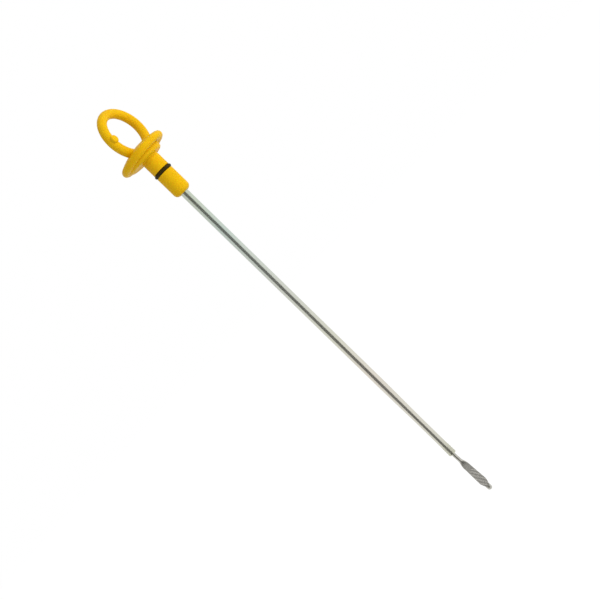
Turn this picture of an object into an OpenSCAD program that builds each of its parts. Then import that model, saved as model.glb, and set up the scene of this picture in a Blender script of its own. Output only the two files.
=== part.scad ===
// Engine oil dipstick, in millimetres.
// The origin is on the axis at the seat, the underside of the boss that stops on the guide tube's mouth.
// +Z points out of the guide tube, towards the finger ring, and the ring lies in the XZ plane.

/* [Finger ring] */
// Inside diameter of the finger ring
ring_inner_d = 29; // [24:0.5:36]
// Thickness of the ring's round bar
bar_d = 6.9; // [5:0.1:8]
// Depth of the finger hole's lowest point below the top of the dome
ring_sink = 2.2; // [0:0.1:4]
// Distance by which the ring is off the axis
ring_shift = 0.5; // [0:0.1:2]
// Diameter of the small round boss on the side of the ring
nub_d = 6; // [3:0.25:7]
// Height of that boss above the bar
nub_h = 1.2; // [0.4:0.1:2.5]
// Rounding of that boss's edge
nub_edge_r = 0.8; // [0.1:0.1:1]

/* [Flange] */
// Diameter of the flange
flange_d = 40.6; // [36:0.2:46]
// Thickness of the flange's rounded rim
rim_t = 5.7; // [3:0.1:7]
// Height of the middle of the rim above the seat
rim_h = 5.5; // [5:0.1:8]
// Rise of the dome above the rim
dome_rise = 3.2; // [1:0.1:5]
// Distance by which the flange is off the axis
flange_shift = 1.3; // [0:0.1:3]
// Angle by which the flange leans down on that side
flange_lean = 5; // [0:0.5:6]
// Direction of that side, counted from the plane of the ring
flange_turn = 125; // [0:5:355]

/* [Boss] */
// Diameter of the boss under the flange
boss_d = 29.6; // [25:0.2:32]
// Height of the boss, from the seat to the underside of the flange
boss_h = 3.2; // [2:0.1:4]
// Rounding of the boss's lower edge
boss_edge_r = 2.4; // [0.5:0.1:3]
// Distance by which the boss is off the axis, to the flange's side
boss_shift = 2.6; // [0:0.1:4]

/* [Plug] */
// Diameter of the plug that goes into the guide tube
plug_d = 13.6; // [12:0.1:18]
// Length of the plug, from the seat to its nose
plug_len = 33.5; // [26:0.1:50]
// Rounding of the plug's nose
nose_r = 3.5; // [0.5:0.1:5]
// Rounding in the corner between plug and seat
root_r = 0.6; // [0.2:0.1:1.5]
// Depth of the tube's socket, from the nose
socket_depth = 29; // [15:0.5:32]

/* [Seal] */
// Thickness of the O-ring's rubber
seal_t = 2.6; // [1.6:0.1:3.6]
// Height by which the O-ring stands out of the plug
seal_stand = 0.6; // [0.2:0.05:1.2]
// Distance from the seat to the middle of the O-ring
seal_z = 13; // [6:0.1:18]
// Free space on each side of the O-ring in its groove
seal_side_gap = 0.25; // [0.05:0.05:0.8]

/* [Tube] */
// Outer diameter of the steel tube
tube_d = 6.2; // [5.4:0.1:7.5]
// Thickness of the tube's wall
tube_wall = 0.8; // [0.5:0.1:1.2]
// Distance from the seat to the lower end of the tube
tube_reach = 297; // [150:1:600]
// Diameter of the lower stretch, drawn down onto the wire
neck_d = 5.4; // [4.6:0.1:6.2]
// Length of that stretch
neck_len = 34; // [16:1:110]
// Length over which the tube narrows to it
neck_taper_len = 35; // [2:1:60]
// Diameter of the collar at the tube's lower end
collar_d = 5.8; // [5:0.1:7]
// Length of the collar
collar_len = 7.4; // [4:0.1:20]
// Chamfer of the collar's edges
tube_chamfer = 0.3; // [0.1:0.05:0.6]
// Number of grooves rolled into the collar to hold the wire
crimp_count = 3; // [1:1:5]
// Spacing of the rolled grooves
crimp_pitch = 2; // [1.5:0.1:4]
// Distance from the tube's end to the first groove
crimp_from_end = 2.2; // [1.5:0.1:6]
// Depth of a rolled groove
crimp_depth = 0.2; // [0.05:0.05:0.4]
// Radius of the roller's edge, which gives a groove its form
crimp_r = 0.8; // [0.5:0.1:1.5]

/* [Gauge wire] */
// Diameter of the wire
wire_d = 2.85; // [2:0.05:3.4]
// Length of the wire that is held in the tube
wire_grip = 30; // [12:1:100]
// Length of bare wire between the tube and the blade
wire_free = 7.5; // [3:0.1:40]
// Angle by which the bare wire leans out of the tube's axis
wire_lean = 2; // [0:0.5:8]

/* [Gauge blade] */
// Thickness of the flattened blade
blade_t = 1.1; // [0.8:0.05:1.8]
// Width of the blade at its upper end
blade_top_w = 5.2; // [3.6:0.1:8]
// Width of the blade at its widest place
blade_w = 6; // [4.6:0.1:9]
// Length of the shoulder where the round wire turns flat
shoulder_len = 5.7; // [2:0.1:10]
// Length of the plain stretch above the knurling
plain_len = 4.2; // [1:0.1:12]
// Length of the knurled stretch, which reads the oil level
knurl_len = 15.5; // [8:0.1:40]
// Length over which the blade narrows to the round tip
blade_end_len = 4.4; // [1:0.1:6]
// Length of the round tip below the blade
tip_len = 4.6; // [2:0.1:15]
// Diameter of the round tip, which is upset from the wire
tip_d = 3.7; // [2.4:0.1:4.4]
// Direction of the blade's width, counted from the plane of the ring
blade_turn = 125; // [0:5:355]

/* [Knurling] */
// Spacing of the knurling's grooves
knurl_pitch = 1.05; // [0.8:0.05:2]
// Depth of the knurling's main grooves
knurl_depth = 0.26; // [0.08:0.02:0.3]
// Depth of the grooves that cross them
knurl_cross_depth = 0.1; // [0.06:0.02:0.3]
// Angle between the grooves and the blade's length
knurl_angle = 48; // [30:1:60]

/* [Fits] */
// Clearance around what is moulded in or laid in, on each side
fit_gap = 0.03; // [0.01:0.01:0.1]
// Clearance between the wire and the tube's bore, on each side
wire_gap = 0.04; // [0.01:0.01:0.2]

/* [Hidden] */
$fn = 96;

yellow = [0.95, 0.72, 0.06];
black = [0.09, 0.08, 0.07];
zinc = [0.74, 0.76, 0.68];
steel = [0.55, 0.55, 0.51];

// Overlap that welds the forms of one piece to each other
weld = 0.5;

// Flange, with heights counted from the middle of its rim
rim_r = rim_t / 2;
rim_centre_r = flange_d / 2 - rim_r;
dome_top = rim_r + dome_rise;
// The dome is the arc that touches the rim's arc from outside and tops out on the flange's own axis
dome_r = (pow(rim_centre_r, 2) + pow(dome_top, 2) - pow(rim_r, 2)) / (2 * dome_rise);
dome_angle = asin(rim_centre_r / (dome_r - rim_r));
// The underside is the cone that meets the boss at its height and touches the rim's arc from below
boss_r = boss_d / 2;
crease_z = boss_h - rim_h;
under_slope = atan2(-crease_z, rim_centre_r - boss_r) - asin(rim_r / norm([crease_z, rim_centre_r - boss_r]));

ring_r = (ring_inner_d + bar_d) / 2;
ring_z = rim_h + dome_top - ring_sink + ring_inner_d / 2;

plug_r = plug_d / 2;
// Material left around the tube where the nose's rounding ends
nose_land = tube_d / 40;
nose_fillet = min(nose_r, plug_r - tube_d / 2 - nose_land);
socket_r = tube_d / 2 + fit_gap;
seal_r = plug_r + seal_stand - seal_t / 2;
groove_floor_r = seal_r - seal_t / 2 - fit_gap;
groove_w = seal_t + 2 * seal_side_gap;

tube_top = -plug_len + socket_depth - fit_gap;
tube_end = -tube_reach;
neck_bore_r = wire_d / 2 + wire_gap;

wire_r = wire_d / 2;
// Distance from the tube's mouth to the bend in the wire, and swell of the wire there
bend_drop = wire_d * 0.56;
bend_swell = wire_d / 140;
// Height above the wire's surface at which the presses that flatten it begin
press_lift = wire_d * 0.07;
// Half thickness of the wire above the step down to the blade's flat, and length of that step
step_y = max(wire_d * 0.42, blade_t / 2);
step_len = wire_d * 0.45;
tip_r = tip_d / 2;
// Steps of the curves in which wire and tip widen to the blade
flare_steps = 6;
// Heights along the leaning wire, counted from its bend
shoulder_z = bend_drop - wire_free;
plain_z = shoulder_z - shoulder_len;
knurl_z = plain_z - plain_len;
knurl_end_z = knurl_z - knurl_len;
widest_z = knurl_end_z + blade_end_len;
tip_z = knurl_end_z - tip_len;

// Turns a form that is drawn along X to an angle about the axis
module turned(angle) {
    rotate([0, 0, angle]) children();
}

// Half section of the flange around its own axis, with the middle of its rim at height 0
module flange_section() {
    rim_centre = [rim_centre_r, 0];
    inner_r = boss_r - boss_edge_r;
    inner_z = crease_z - boss_edge_r * tan(under_slope);
    translate(rim_centre) circle(r = rim_r);
    intersection() {
        translate([0, dome_top - dome_r]) circle(r = dome_r, $fn = 720);
        polygon([
            [0, inner_z],
            [inner_r, inner_z],
            rim_centre + rim_r * [sin(under_slope), -cos(under_slope)],
            rim_centre,
            rim_centre + rim_t * [sin(dome_angle), cos(dome_angle)],
            [0, dome_top + rim_t]
        ]);
    }
}

// Half section of the boss, with its lower edge rounded
module boss_section() {
    inner_r = boss_r - boss_edge_r;
    square([inner_r, rim_h - weld]);
    translate([inner_r, boss_edge_r]) circle(r = boss_edge_r);
    translate([0, boss_edge_r]) square([boss_r, rim_h - weld - boss_edge_r]);
}

// Half section of the plug: root fillet, groove of the O-ring, rounded nose and socket of the tube
module plug_section() {
    straight = plug_len - nose_fillet;
    difference() {
        union() {
            translate([0, -straight]) square([plug_r, straight + weld]);
            translate([0, -plug_len]) square([plug_r - nose_fillet, plug_len]);
            intersection() {
                translate([plug_r - nose_fillet, -straight]) circle(r = nose_fillet);
                translate([0, -plug_len]) square([plug_r, plug_len]);
            }
            difference() {
                translate([0, -root_r]) square([plug_r + root_r, root_r + weld]);
                translate([plug_r + root_r, -root_r]) circle(r = root_r);
            }
        }
        translate([groove_floor_r, -seal_z - groove_w / 2]) square([plug_r, groove_w]);
        translate([0, -plug_len - weld]) square([socket_r, socket_depth + weld]);
    }
}

// Round bar of the finger ring, cut off in the middle of the flange, and the small boss on its side
module finger_ring() {
    difference() {
        translate([ring_shift, 0, ring_z]) rotate([90, 0, 0])
            rotate_extrude() translate([ring_r, 0]) circle(d = bar_d);
        translate([0, 0, rim_h - ring_r]) cube([3 * ring_r, 2 * bar_d, 2 * ring_r], center = true);
    }
    translate([ring_shift - ring_r, 0, ring_z]) rotate([90, 0, 0]) ring_nub();
}

module ring_nub() {
    top = bar_d / 2 + nub_h;
    flat_r = nub_d / 2 - nub_edge_r;
    rotate_extrude() {
        square([flat_r, top]);
        square([nub_d / 2, top - nub_edge_r]);
        translate([flat_r, top - nub_edge_r]) circle(r = nub_edge_r);
    }
}

// One moulding: finger ring, domed flange, boss and plug
module handle() {
    color(yellow) {
        finger_ring();
        turned(flange_turn) {
            translate([flange_shift, 0, rim_h]) rotate([0, flange_lean, 0]) rotate_extrude() flange_section();
            translate([boss_shift, 0, 0]) rotate_extrude() boss_section();
        }
        rotate_extrude() plug_section();
    }
}

// Rubber ring in the groove of the plug
module o_ring() {
    color(black) translate([0, 0, -seal_z]) rotate_extrude() translate([seal_r, 0]) circle(d = seal_t);
}

// Steel tube, moulded into the plug, drawn down onto the wire and rolled onto it at its lower end
module tube() {
    bore_r = tube_d / 2 - tube_wall;
    collar_r = collar_d / 2;
    collar_top = tube_end + collar_len;
    neck_top = tube_end + neck_len;
    taper_top = neck_top + neck_taper_len;
    color(zinc) rotate_extrude() difference() {
        polygon([
            [bore_r, tube_top],
            [tube_d / 2, tube_top],
            [tube_d / 2, taper_top],
            [neck_d / 2, neck_top],
            [neck_d / 2, collar_top],
            [collar_r, collar_top - tube_chamfer],
            [collar_r, tube_end + tube_chamfer],
            [collar_r - tube_chamfer, tube_end],
            [neck_bore_r, tube_end],
            [neck_bore_r, neck_top],
            [bore_r, taper_top]
        ]);
        for (i = [0 : crimp_count - 1])
            translate([collar_r + crimp_r - crimp_depth, tube_end + crimp_from_end + i * crimp_pitch])
                circle(r = crimp_r);
    }
}

// Points of a curve that widens fast at first and then less, from one half width and height to another
function flare(start_r, start_z, end_r, end_z) = [
    for (i = [0 : flare_steps]) let (part = i / flare_steps)
        [start_r + (end_r - start_r) * sin(90 * part), start_z + (end_z - start_z) * part]
];

// Outline of the blade and its round tip as seen from the front, as a half section
module tip_outline() {
    top_r = blade_top_w / 2;
    end_flare = flare(tip_r, knurl_end_z, blade_w / 2, widest_z);
    polygon(concat(
        [[0, shoulder_z]],
        flare(wire_r, shoulder_z, top_r, plain_z),
        [[top_r, (plain_z + knurl_z) / 2]],
        [for (i = [flare_steps : -1 : 0]) end_flare[i]],
        [[tip_r, tip_z + tip_r], [0, tip_z + tip_r]]
    ));
    intersection() {
        translate([0, tip_z + tip_r]) circle(r = tip_r);
        translate([0, tip_z]) square([tip_r, 2 * tip_r]);
    }
}

// The same stretch as seen from the side, where the blade is pressed flat
module tip_side() {
    flat_y = blade_t / 2;
    open_y = wire_r + press_lift;
    tip_y = tip_r + press_lift;
    edge = [
        [open_y, shoulder_z + weld],
        [open_y, shoulder_z],
        [step_y, plain_z + step_len],
        [flat_y, plain_z],
        [flat_y, knurl_end_z],
        [tip_y, knurl_end_z - tip_y + flat_y],
        [tip_y, tip_z - weld]
    ];
    n = len(edge);
    polygon(concat(edge, [for (i = [1 : n]) [-edge[n - i][0], edge[n - i][1]]]));
}

// Grooves of the knurling on one face, at one angle
module knurl_grooves(angle, depth) {
    side = depth * sqrt(2);
    reach = norm([blade_w, knurl_len]);
    count = ceil(reach / knurl_pitch / 2);
    translate([0, 0, (knurl_z + knurl_end_z) / 2]) rotate([0, angle, 0])
        for (i = [-count : count])
            translate([i * knurl_pitch, 0, 0]) rotate([0, 0, 45])
                cube([side, side, 2 * reach], center = true);
}

// Knurling on both faces of the blade, with the same slant on each as one looks at it
module knurling() {
    intersection() {
        for (face = [-1, 1])
            translate([0, face * blade_t / 2, 0]) {
                knurl_grooves(face * knurl_angle, knurl_depth);
                knurl_grooves(-face * knurl_angle, knurl_cross_depth);
            }
        translate([-blade_w, -blade_w, knurl_end_z]) cube([2 * blade_w, 2 * blade_w, knurl_len]);
    }
}

// Bare wire, blade and tip, with the blade's width along X and the bend at the origin
module gauge_tip() {
    translate([0, 0, shoulder_z]) cylinder(r = wire_r, h = -shoulder_z);
    difference() {
        intersection() {
            rotate_extrude() tip_outline();
            rotate([90, 0, 90]) linear_extrude(2 * blade_w, center = true) tip_side();
        }
        knurling();
    }
}

// Steel wire: round in the tube, leaning a little below it, and pressed flat and knurled near its end
module gauge_wire() {
    color(steel) {
        translate([0, 0, tube_end - bend_drop]) {
            cylinder(r = wire_r, h = wire_grip + bend_drop);
            sphere(r = wire_r + bend_swell);
            turned(blade_turn) rotate([0, wire_lean, 0]) gauge_tip();
        }
    }
}

handle();
o_ring();
tube();
gauge_wire();
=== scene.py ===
"""Looks of the engine oil dipstick: materials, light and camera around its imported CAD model.

Everything is in metres, in the frame of the CAD model.
"""

import math

import bpy
from mathutils import Matrix, Vector


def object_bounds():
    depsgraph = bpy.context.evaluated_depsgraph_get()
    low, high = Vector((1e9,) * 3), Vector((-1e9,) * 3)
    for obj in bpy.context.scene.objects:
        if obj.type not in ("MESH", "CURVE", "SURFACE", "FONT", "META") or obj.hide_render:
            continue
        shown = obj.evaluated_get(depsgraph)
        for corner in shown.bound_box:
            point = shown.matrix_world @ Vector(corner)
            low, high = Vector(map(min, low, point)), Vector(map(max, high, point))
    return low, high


MM = 0.001

# Camera: turned about the axis from the ring's face, -Y, and looking a little down
RING_TURN = math.radians(55.0)
LOOK_DOWN = math.radians(3.3)
CAMERA_DISTANCE = 784 * MM
CAMERA_LENS_MM = 67.2
CAMERA_SENSOR_MM = 36
CAMERA_CLIP = (0.01, 50)
AIM_HEIGHT = -143.4 * MM
AIM_SIDE = -2.44 * MM
# The stick's direction in the picture, from the ring to the blade
STICK_RIGHT, STICK_DOWN = 0.7165, 0.6976

# The stick's axis, the side that is lower left in the picture, and the side near the camera
AXIS = Vector((0, 0, 1))
SIDE = Vector((-math.cos(RING_TURN), math.sin(RING_TURN), 0))
NEAR = Vector((-math.sin(RING_TURN), -math.cos(RING_TURN), 0))

# The white world: its level of light on the object, and its level in reflections towards SIDE
WORLD_LIGHT = 0.61
DIM_SIDE = 0.8
# The lamp, in watts, with its direction from the object
KEY_POWER = 7.9
KEY_WAY = -SIDE + NEAR * 0.62 + AXIS * 0.3
KEY_DISTANCE = 1.2
KEY_SIZE = (0.9, 0.9)

# The floor, with the share of it that glows a plain white, and that white's strength
FLOOR_GAP = 0.5 * MM
FLOOR_SIZE = (8, 8)
FLOOR_PAINT = (0.92, 0.92, 0.92, 1)
FLOOR_WHITE = 0.85
FLOOR_GLOW = 1.1

# The dark card that shows in reflections, turned away from the camera's direction and tilted
CARD_TURN = math.radians(11.0)
CARD_TILT = math.radians(4.0)
CARD_DISTANCE = 60 * MM
CARD_WIDTH, CARD_LENGTH = 90 * MM, 430 * MM
CARD_HEIGHT = -118 * MM
CARD_PAINT = (0.34, 0.34, 0.34, 1)
# A second card goes on along the floor, up to this distance from the axis
FLOOR_CARD_NEAR = 7 * MM

# Ranges of the values that drive materials: most of a noise texture, and the whole of a mask
NOISE_RANGE = (0.3, 0.7)
MASK_RANGE = (0.0, 1.0)

# Tones between which each material's colour wanders
YELLOW = (0.785, 0.45, 0.001), (0.835, 0.49, 0.002)
BLACK = (0.032, 0.020, 0.002), (0.050, 0.033, 0.004)
DRAWN_STEEL = (0.40, 0.39, 0.35), (0.58, 0.565, 0.51)
PRESSED_STEEL = (0.31, 0.305, 0.275), (0.40, 0.39, 0.355)
# Tones of the knurling's painted light and shade, from the lit wall of a groove to the wall in painted
# shade
KNURL_PAINTED_LIGHT_AND_SHADE = (0.71, 0.69, 0.635), (0.09, 0.085, 0.075)
# Tints of the zinc along the tube, from its lower end (0) to the plug (1), and of its pale blotches
ZINC_HEIGHTS = (-297 * MM, -33 * MM)
ZINC_TINTS = (
    (0.00, (0.50, 0.50, 0.39)),
    (0.06, (0.62, 0.61, 0.53)),
    (0.30, (0.68, 0.63, 0.55)),
    (0.45, (0.63, 0.63, 0.53)),
    (0.62, (0.62, 0.64, 0.57)),
    (0.85, (0.56, 0.65, 0.59)),
    (1.00, (0.56, 0.63, 0.51)),
)
ZINC_BLOTCH = (0.72, 0.71, 0.63)

# Heights between which the drawn wire turns into the pressed blade, and the drawn tip into the blade
BLADE_TOP = (-310 * MM, -306.5 * MM)
BLADE_END = (-331.5 * MM, -330 * MM)
# The blade as the CAD source builds it: turn about the axis, and lean and bend of the wire
BLADE_TURN = math.radians(125.0)
WIRE_LEAN = math.radians(2.0)
BEND_HEIGHT = -298.596 * MM
# Its knurling, with the middle counted from the bend along the blade
KNURL_MIDDLE = -23.554 * MM
KNURL_HALF = 7.75 * MM
KNURL_PITCH = 1.05 * MM
KNURL_ANGLE = math.radians(48.0)
# How far the painted shade on a groove's wall lies beside the groove's middle, as a share of the pitch
PAINTED_SHADE_SHIFT = 0.125


class Nodes:
    """Short calls for building a node tree."""

    def __init__(self, tree):
        self.tree = tree

    def add(self, kind, **settings):
        node = self.tree.nodes.new(kind)
        for key, value in settings.items():
            setattr(node, key, value)
        return node

    def link(self, source, target):
        self.tree.links.new(source, target)

    def feed(self, target, value):
        """Links an input to a socket, or sets it to a value."""
        if isinstance(value, bpy.types.NodeSocket):
            self.link(value, target)
        else:
            target.default_value = value

    def math(self, operation, first, second=None):
        """A calculation with one or two values, each a number or a socket."""
        node = self.add("ShaderNodeMath", operation=operation)
        self.feed(node.inputs[0], first)
        if second is not None:
            self.feed(node.inputs[1], second)
        return node.outputs["Value"]

    def dot(self, vector, axis):
        """How far a vector reaches along an axis."""
        node = self.add("ShaderNodeVectorMath", operation="DOT_PRODUCT")
        node.inputs[1].default_value = axis
        self.link(vector, node.inputs[0])
        return node.outputs["Value"]

    def spread(self, source, low, high, source_range=NOISE_RANGE):
        """Maps a value from its range to another, whose ends are numbers or sockets."""
        node = self.add("ShaderNodeMapRange")
        node.inputs["From Min"].default_value, node.inputs["From Max"].default_value = source_range
        self.feed(node.inputs["To Min"], low)
        self.feed(node.inputs["To Max"], high)
        self.link(source, node.inputs["Value"])
        return node.outputs["Result"]

    def sight_rays(self):
        """1 for rays from the camera, and for those reflected or let through, else 0."""
        path = self.add("ShaderNodeLightPath")
        seen = path.outputs["Is Camera Ray"]
        for kind in ("Is Glossy Ray", "Is Transmission Ray"):
            seen = self.math("MAXIMUM", seen, path.outputs[kind])
        return seen


class Paint(Nodes):
    """Short calls for building a material around its shader."""

    def __init__(self, name):
        self.material = bpy.data.materials.new(name)
        self.material.use_nodes = True
        super().__init__(self.material.node_tree)
        self.shader = self.tree.nodes["Principled BSDF"]
        self.place = self.add("ShaderNodeTexCoord").outputs["Object"]

    def set(self, **values):
        """Sets or links the shader's own inputs, with spaces written as underscores."""
        for key, value in values.items():
            self.feed(self.shader.inputs[key.replace("_", " ")], value)

    def height(self):
        parts = self.add("ShaderNodeSeparateXYZ")
        self.link(self.place, parts.inputs["Vector"])
        return parts.outputs["Z"]

    def distance(self, axis, start):
        """Distance from a start along an axis."""
        return self.math("SUBTRACT", self.dot(self.place, axis), start.dot(axis))

    def noise(self, scale, detail=3, roughness=0.5):
        """Noise with a scale in cells per metre, or with one for each axis."""
        node = self.add("ShaderNodeTexNoise")
        node.inputs["Detail"].default_value = detail
        node.inputs["Roughness"].default_value = roughness
        if isinstance(scale, tuple):
            mapping = self.add("ShaderNodeMapping")
            mapping.inputs["Scale"].default_value = scale
            self.link(self.place, mapping.inputs["Vector"])
            self.link(mapping.outputs["Vector"], node.inputs["Vector"])
            node.inputs["Scale"].default_value = 1.0
        else:
            self.link(self.place, node.inputs["Vector"])
            node.inputs["Scale"].default_value = scale
        return node.outputs["Fac"]

    def mix(self, factor, first, second):
        """Mixes two colours, each a tuple or a socket."""
        node = self.add("ShaderNodeMix", data_type="RGBA", blend_type="MIX")
        self.link(factor, node.inputs["Factor"])
        for name, value in (("A", first), ("B", second)):
            target = next(s for s in node.inputs if s.name == name and s.type == "RGBA")
            self.feed(target, (*value, 1.0) if isinstance(value, tuple) else value)
        return next(s for s in node.outputs if s.type == "RGBA")

    def tones(self, noise, pair):
        """Wanders between a pair of colours."""
        return self.mix(self.spread(noise, 0.0, 1.0), *pair)

    def ramp(self, factor, stops):
        """A colour ramp with stops of (place, colour)."""
        node = self.add("ShaderNodeValToRGB")
        elements = node.color_ramp.elements
        while len(elements) < len(stops):
            elements.new(0.5)
        for element, (place, colour) in zip(elements, stops):
            element.position = place
            element.color = (*colour, 1.0)
        self.link(factor, node.inputs["Fac"])
        return node.outputs["Color"]

    def bump(self, height, distance, strength, normal=None):
        node = self.add("ShaderNodeBump")
        node.inputs["Distance"].default_value = distance
        node.inputs["Strength"].default_value = strength
        self.link(height, node.inputs["Height"])
        if normal is not None:
            self.link(normal, node.inputs["Normal"])
        return node.outputs["Normal"]


def yellow_plastic():
    m = Paint("yellow_plastic")
    broad = m.noise(60)
    uneven = m.bump(broad, distance=0.3 * MM, strength=0.25)
    m.set(
        Base_Color=m.tones(broad, YELLOW),
        Roughness=m.spread(m.noise(900, roughness=0.6), 0.40, 0.52),
        Normal=m.bump(m.noise(1600), distance=0.012 * MM, strength=0.3, normal=uneven),
        Subsurface_Weight=0.2,
        Subsurface_Radius=(3 * MM, 1.5 * MM, 0.3 * MM),
        IOR=1.5,
        Specular_IOR_Level=0.10,
    )
    return m.material


def black_rubber():
    m = Paint("black_rubber")
    grain = m.noise(2500, detail=4, roughness=0.6)
    m.set(
        Base_Color=m.tones(m.noise(300), BLACK),
        Roughness=m.spread(grain, 0.45, 0.65),
        Normal=m.bump(grain, distance=0.02 * MM, strength=0.6),
        Specular_IOR_Level=0.1,
    )
    return m.material


def zinc_plate():
    m = Paint("zinc_plate")
    tint = m.ramp(m.spread(m.height(), 0.0, 1.0, ZINC_HEIGHTS), ZINC_TINTS)
    blotch = m.noise((130, 130, 34), roughness=0.55)
    streak = m.noise((2600, 2600, 40), detail=4, roughness=0.6)
    m.set(
        Base_Color=m.mix(m.spread(blotch, 0.0, 0.3), tint, ZINC_BLOTCH),
        Roughness=m.spread(streak, 0.17, 0.30),
        Normal=m.bump(streak, distance=0.01 * MM, strength=0.4),
        Metallic=1.0,
    )
    return m.material


def knurling(m):
    """Masks of the knurled stretch of the blade, and of the painted shade on one wall of each of its
    grooves.
    """
    turn = Matrix.Rotation(BLADE_TURN, 3, "Z") @ Matrix.Rotation(WIRE_LEAN, 3, "Y")
    across, face, along = turn.col
    middle = AXIS * BEND_HEIGHT + along * KNURL_MIDDLE
    height = m.distance(along, middle)
    knurled = m.math("LESS_THAN", m.math("ABSOLUTE", height), KNURL_HALF)
    # The grooves have the same slant on both faces, as one looks at them
    mirrored = m.math("MULTIPLY", height, m.math("SIGN", m.distance(face, middle)))
    row = m.math("SUBTRACT", m.math("MULTIPLY", m.distance(across, middle), math.cos(KNURL_ANGLE)),
                 m.math("MULTIPLY", mirrored, math.sin(KNURL_ANGLE)))
    # The painted shade follows a wave across the rows and is darkest on one wall of each groove
    turns = m.math("ADD", m.math("DIVIDE", row, KNURL_PITCH), PAINTED_SHADE_SHIFT)
    wave = m.math("COSINE", m.math("MULTIPLY", turns, 2 * math.pi))
    return knurled, m.spread(wave, 0.0, 1.0, (-1.0, 1.0))


def steel_with_painted_knurl_shade():
    """Drawn steel, duller and hardly metallic where it is pressed, with painted light and shade across
    the knurling's rows so that they show.
    """
    m = Paint("steel_with_painted_knurl_shade")
    height = m.height()
    below_top, above_end = m.spread(height, 1.0, 0.0, BLADE_TOP), m.spread(height, 0.0, 1.0, BLADE_END)
    pressed = m.math("MULTIPLY", below_top, above_end)
    knurled, painted_groove_shade = knurling(m)
    blotch = m.noise(500, detail=4, roughness=0.6)
    # In the knurled stretch the colour is painted light and shade: a light tone on one wall of each
    # groove and a dark painted shade on the other
    blade = m.mix(knurled, m.tones(blotch, PRESSED_STEEL), m.mix(painted_groove_shade, *KNURL_PAINTED_LIGHT_AND_SHADE))
    streak = m.noise((3000, 3000, 90), detail=4, roughness=0.6)
    m.set(
        Base_Color=m.mix(pressed, m.tones(blotch, DRAWN_STEEL), blade),
        Metallic=m.spread(pressed, 1.0, 0.2, MASK_RANGE),
        Roughness=m.spread(pressed, 0.22, 0.34, MASK_RANGE),
        Normal=m.bump(streak, distance=0.012 * MM, strength=0.6),
    )
    return m.material


def floor_paint():
    """White paint that meets the white world without a line, and keeps a share of the shadow."""
    m = Paint("floor_paint")
    m.set(Base_Color=FLOOR_PAINT, Roughness=0.8, Specular_IOR_Level=0.0)
    glow = m.add("ShaderNodeEmission")
    glow.inputs["Strength"].default_value = FLOOR_GLOW
    blend = m.add("ShaderNodeMixShader")
    m.link(m.math("MULTIPLY", m.sight_rays(), FLOOR_WHITE), blend.inputs["Fac"])
    m.link(m.shader.outputs["BSDF"], blend.inputs[1])
    m.link(glow.outputs["Emission"], blend.inputs[2])
    m.link(blend.outputs["Shader"], m.tree.nodes["Material Output"].inputs["Surface"])
    return m.material


def card_paint():
    m = Paint("card_paint")
    m.set(Base_Color=CARD_PAINT, Roughness=1.0, Specular_IOR_Level=0.0)
    return m.material


def dress(node, material):
    """Gives a CAD node its material."""
    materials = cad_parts[node].data.materials
    materials.clear()
    materials.append(material)


def add_camera():
    back = NEAR * math.cos(LOOK_DOWN) + AXIS * math.sin(LOOK_DOWN)
    along = (AXIS - back * AXIS.dot(back)).normalized()
    right = -along * STICK_RIGHT - SIDE * STICK_DOWN
    up = along * STICK_DOWN - SIDE * STICK_RIGHT
    matrix = Matrix((right, up, back)).transposed().to_4x4()
    matrix.translation = AXIS * AIM_HEIGHT + SIDE * AIM_SIDE + back * CAMERA_DISTANCE

    data = bpy.data.cameras.new("camera")
    data.lens = CAMERA_LENS_MM
    data.sensor_width = CAMERA_SENSOR_MM
    data.clip_start, data.clip_end = CAMERA_CLIP
    camera = bpy.data.objects.new("camera", data)
    camera.matrix_world = matrix
    bpy.context.scene.collection.objects.link(camera)
    bpy.context.scene.camera = camera


def white_world():
    """A white studio that gives a plain level of light, and is dimmer to one side in reflections."""
    world = bpy.data.worlds.new("studio")
    bpy.context.scene.world = world
    world.use_nodes = True
    m = Nodes(world.node_tree)
    way = m.add("ShaderNodeTexCoord").outputs["Generated"]
    dimmed = m.spread(m.dot(way, SIDE), 1.0, DIM_SIDE, (-1.0, 1.0))
    level = m.spread(m.sight_rays(), WORLD_LIGHT, dimmed, MASK_RANGE)
    camera_rays = m.add("ShaderNodeLightPath").outputs["Is Camera Ray"]
    background = m.tree.nodes["Background"]
    background.inputs["Color"].default_value = (1, 1, 1, 1)
    m.link(m.spread(camera_rays, level, 1.0, MASK_RANGE), background.inputs["Strength"])


def facing(direction):
    """The turn that points an object's Z in a direction."""
    return direction.to_track_quat("Z", "Y").to_euler()


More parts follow.
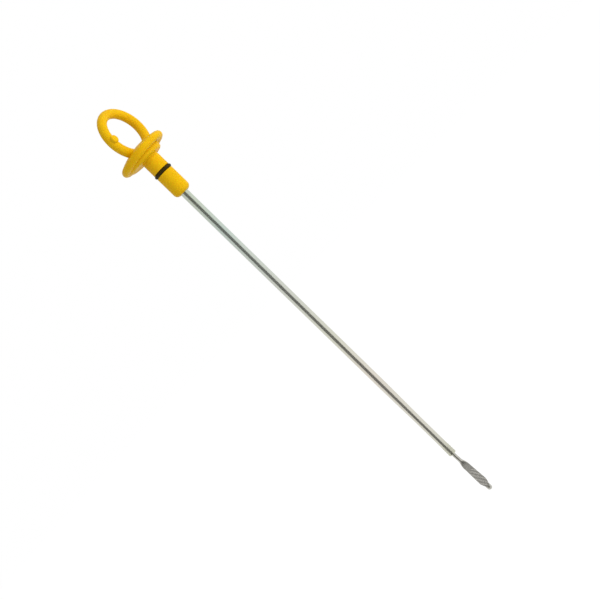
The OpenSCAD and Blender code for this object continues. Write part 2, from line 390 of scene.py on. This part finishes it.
def add_key():
    """A soft lamp that doesn't show in reflections."""
    data = bpy.data.lights.new("key", "AREA")
    data.shape = "RECTANGLE"
    data.size, data.size_y = KEY_SIZE
    data.energy = KEY_POWER
    lamp = bpy.data.objects.new("key", data)
    lamp.location = AXIS * AIM_HEIGHT + KEY_WAY.normalized() * KEY_DISTANCE
    lamp.rotation_euler = facing(KEY_WAY)
    lamp.visible_glossy = False
    bpy.context.scene.collection.objects.link(lamp)


def stage_plane(name, place, turn, size, material):
    bpy.ops.mesh.primitive_plane_add(size=1)
    plane = bpy.context.object
    plane.name = name
    plane.scale = (*size, 1)
    plane.location = place
    plane.rotation_euler = turn
    plane.data.materials.append(material)
    return plane


def add_card(name, place, turn, size, material):
    """A card that only shows in reflections."""
    card = stage_plane(name, place, turn, size, material)
    card.visible_camera = False
    card.visible_diffuse = False
    card.visible_shadow = False


def add_cards(ground):
    """The dark card beside the camera's direction, and the one below it on the ground."""
    way = NEAR * math.cos(CARD_TURN) + SIDE * math.sin(CARD_TURN)
    paint = card_paint()

    place = AXIS * CARD_HEIGHT + way * CARD_DISTANCE
    upright = facing(-way)
    upright.rotate_axis("Z", CARD_TILT)
    add_card("dark_card", place, upright, (CARD_WIDTH, CARD_LENGTH), paint)

    place = way * (FLOOR_CARD_NEAR + CARD_DISTANCE) / 2 + AXIS * ground
    flat = (0, 0, math.atan2(way.y, way.x) - math.pi / 2)
    add_card("floor_card", place, flat, (CARD_WIDTH, CARD_DISTANCE - FLOOR_CARD_NEAR), paint)


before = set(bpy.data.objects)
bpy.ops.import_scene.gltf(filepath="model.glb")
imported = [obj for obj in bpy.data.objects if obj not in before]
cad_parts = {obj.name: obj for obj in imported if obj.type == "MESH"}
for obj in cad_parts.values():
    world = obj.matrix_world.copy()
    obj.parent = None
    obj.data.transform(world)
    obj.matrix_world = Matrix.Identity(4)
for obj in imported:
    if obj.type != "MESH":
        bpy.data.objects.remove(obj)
cad_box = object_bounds()

add_camera()
dress("handle", yellow_plastic())
dress("o_ring", black_rubber())
dress("tube", zinc_plate())
dress("gauge_wire", steel_with_painted_knurl_shade())

white_world()
add_key()
lowest = cad_box[0][2]
stage_plane("floor", AXIS * (lowest - FLOOR_GAP), facing(AXIS), FLOOR_SIZE, floor_paint())
add_cards(lowest)

bpy.context.scene.view_settings.view_transform = "Standard"
